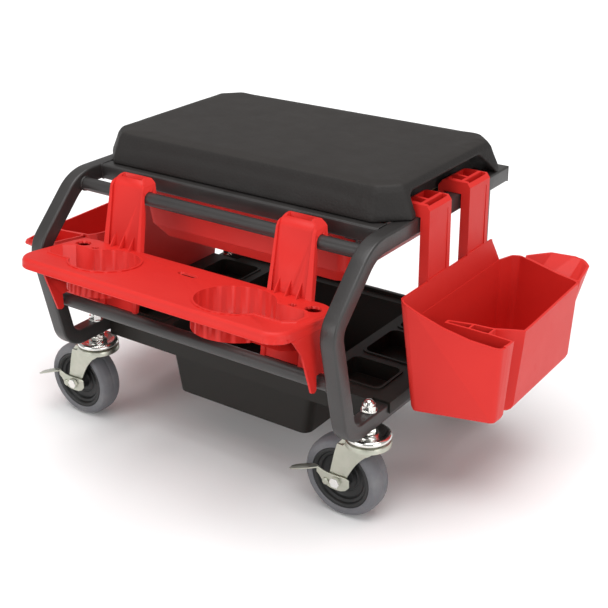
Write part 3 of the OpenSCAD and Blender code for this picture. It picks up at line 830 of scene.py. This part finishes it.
def bend_tube(bm, x, stations, section):
    """Sweeps a section along (y, z, heading) stations in the plane at x."""
    rings = []
    for y, z, h in stations:
        rings.append([bm.verts.new(at(x + u, y - w * math.sin(h), z + w * math.cos(h))) for u, w in section])
    sleeve(bm, rings)


def straight_tube(bm, a, b, section):
    """Sweeps a section from a to b; the section's first axis is horizontal."""
    a, b = Vector(a), Vector(b)
    d = (b - a).normalized()
    side = Vector((0, 0, 1)).cross(d) if abs(d.z) < 0.9 else Vector((1, 0, 0))
    up = d.cross(side)
    sleeve(bm, [[bm.verts.new(at(*(p + side * u + up * w))) for u, w in section] for p in (a, b)])


def cross_tube(bm, place, section):
    """A tube across the frame, between the side frames."""
    straight_tube(bm, (-CROSS_X, *place), (CROSS_X, *place), section)


def bead(bm, loop, outward, size):
    """A weld bead: small overlapping ripples laid round a closed loop of points."""
    rings = []
    for i, (p, o) in enumerate(zip(loop, outward)):
        ripple = size * (1.0 + 0.16 * math.sin(i * 2.3) + 0.1 * math.sin(i * 0.83 + 1))
        rings.append([bm.verts.new(at(*(p + Vector((1, 0, 0)) * ripple * u + o * ripple * 0.8 * w)))
                      for u, w in circle(1, 8)])
    for a, b in zip(rings, rings[1:] + rings[:1]):
        for k in range(len(a)):
            bm.faces.new((a[k - 1], a[k], b[k], b[k - 1]))


def round_bead(bm, side, place):
    """The weld where a round cross tube meets a side frame."""
    out = [Vector((0, u, w)) for u, w in circle(1, 60)]
    middle = Vector((side * ROUND_WELD_X, *place))
    bead(bm, [middle + o * (ROUND_R + 0.2) for o in out], out, ROUND_WELD)


def square_bead(bm, side, place):
    """The weld where a square rail meets a side frame, with a point at every millimetre."""
    ring = square_ring(TUBE_HALF, TUBE_CORNER_R, 8)
    middle = Vector((side * SQUARE_WELD_X, *place))
    loop = []
    out = []
    for (u, w), (u2, w2) in zip(ring, ring[1:] + ring[:1]):
        n = max(1, int(math.hypot(u2 - u, w2 - w)))
        for k in range(n):
            p = Vector((0, u + (u2 - u) * k / n, w + (w2 - w) * k / n))
            loop.append(middle + p)
            out.append(p.normalized())
    bead(bm, loop, out, SQUARE_WELD)


def frame_piece(name, bm, *nodes):
    """Ends a painted piece of the frame; the welds stand for no node of their own."""
    o = link(name, finished(bm, name), MATS["frame_paint"], "frame")
    if nodes:
        o.data.set_sharp_from_angle(angle=math.radians(50))
        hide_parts(*nodes)


def make_side(side, tag):
    """One bent side frame and the rear leg inside it."""
    bm = bmesh.new()
    bend_tube(bm, side * SIDE_X, bent_path(ROUTE, BENDS), SQUARE)
    frame_piece("side_tube_" + tag, bm, "side_frame_" + tag)
    bm = bmesh.new()
    straight_tube(bm, (side * LEG_X, REAR_RAIL_Y, LEG_Z[0]), (side * LEG_X, REAR_RAIL_Y, LEG_Z[1]), SQUARE)
    frame_piece("leg_tube_" + tag, bm, "rear_leg_" + tag)


def make_seat_rail(name, node, place, tab_y):
    """A square rail under the seat with its two screw tabs."""
    bm = bmesh.new()
    cross_tube(bm, place, SQUARE)
    for x in TAB_X:
        straight_tube(bm, (x - TAB_HALF, tab_y, TAB_Z), (x + TAB_HALF, tab_y, TAB_Z), TAB_SECTION)
    frame_piece(name, bm, node)


def make_cross(name, node, place, section):
    bm = bmesh.new()
    cross_tube(bm, place, section)
    frame_piece(name, bm, node)


def make_welds():
    bm = bmesh.new()
    for side in (-1, 1):
        for place in (UPPER_TUBE, LOWER_TUBE):
            round_bead(bm, side, place)
        for place in (FRONT_RAIL, REAR_RAIL, BASE_RAIL):
            square_bead(bm, side, place)
    frame_piece("welds", bm)


make_side(-1, "left")
make_side(1, "right")
make_cross("base_rear_tube", "rear_base_rail", BASE_RAIL, SQUARE)
make_seat_rail("seat_front_tube", "front_seat_rail", FRONT_RAIL, FRONT_TAB_Y)
make_seat_rail("seat_rear_tube", "rear_seat_rail", REAR_RAIL, REAR_TAB_Y)
make_cross("cross_upper", "upper_cross_tube", UPPER_TUBE, ROUND)
make_cross("cross_lower", "lower_cross_tube", LOWER_TUBE, ROUND)
make_welds()


# ---------------------------------------------------------------- stage

FLOOR_HALF = 6
WORLD_LIGHT = 0.42


def make_floor():
    t = Tree("floor")
    t.color(t.mix(t.noise(3.0), (0.90, 0.90, 0.90), (0.93, 0.93, 0.93)))
    t.rough(t.ramp(t.noise(20.0), 0.3, 0.7, 0.75, 0.85))
    me = bpy.data.meshes.new("floor")
    f = FLOOR_HALF
    me.from_pydata([(-f, -f, 0), (f, -f, 0), (f, f, 0), (-f, f, 0)], [], [(0, 1, 2, 3)])
    floor = bpy.data.objects.new("floor", me)
    bpy.context.scene.collection.objects.link(floor)
    me.materials.append(t.mat)


def make_world():
    world = bpy.data.worlds.new("studio")
    world.use_nodes = True
    sky = world.node_tree.nodes["Background"]
    sky.inputs["Color"].default_value = (1.0, 1.0, 1.0, 1.0)
    sky.inputs["Strength"].default_value = WORLD_LIGHT
    bpy.context.scene.world = world
    bpy.context.scene.view_settings.view_transform = "Standard"


def sun(name, toward, strength, spread):
    """A wide, soft sun that shines from toward, lighting the whole floor evenly."""
    light = bpy.data.lights.new(name, "SUN")
    light.energy = strength
    light.angle = math.radians(spread)
    o = bpy.data.objects.new(name, light)
    bpy.context.scene.collection.objects.link(o)
    o.location = toward
    o.rotation_euler = Vector(toward).to_track_quat("Z", "Y").to_euler()


make_floor()
make_world()
sun("top", (0.1, -0.2, 1.9), 2.5, 55)
sun("front", (-0.6, -2.2, 0.9), 0.8, 35)
sun("side", (2.2, -0.6, 0.7), 0.8, 35)
